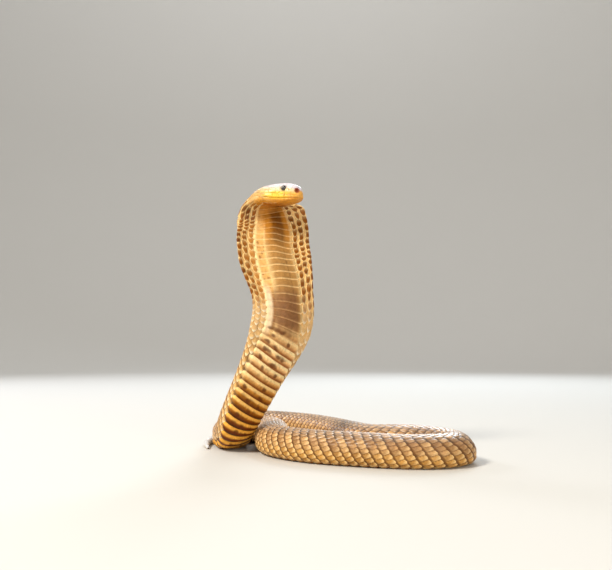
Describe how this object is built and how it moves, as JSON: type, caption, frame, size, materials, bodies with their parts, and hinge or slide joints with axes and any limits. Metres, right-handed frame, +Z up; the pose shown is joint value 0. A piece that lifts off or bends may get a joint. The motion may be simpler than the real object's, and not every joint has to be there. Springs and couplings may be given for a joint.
{
  "type": "snouted cobra model",
  "caption": "Life-size still model of a reared cobra with spread hood, belly scutes, closed mouth and its body laid in one loose loop on flat ground",
  "frame": {"origin": "On the ground, under the middle of the whole snake's box", "axes": "+Z up; the raised belly faces -Y, and the near length of the body lies along +X"},
  "size_m": [0.2353, 0.3774, 0.2279],
  "materials": {
    "head": "satin",
    "skin": "satin",
    "eye": "polished"
  },
  "bodies": {
    "root": {"head": "head", "eye_left": "eye", "eye_right": "eye", "hood": "skin", "fore_body": "skin", "rearing_bend": "skin", "hind_bend": "skin", "left_bend": "skin", "near_run": "skin", "right_bend": "skin", "far_run": "skin", "rear_body": "skin", "tail_base": "skin", "tail": "skin"}
  },
  "joints": []
}
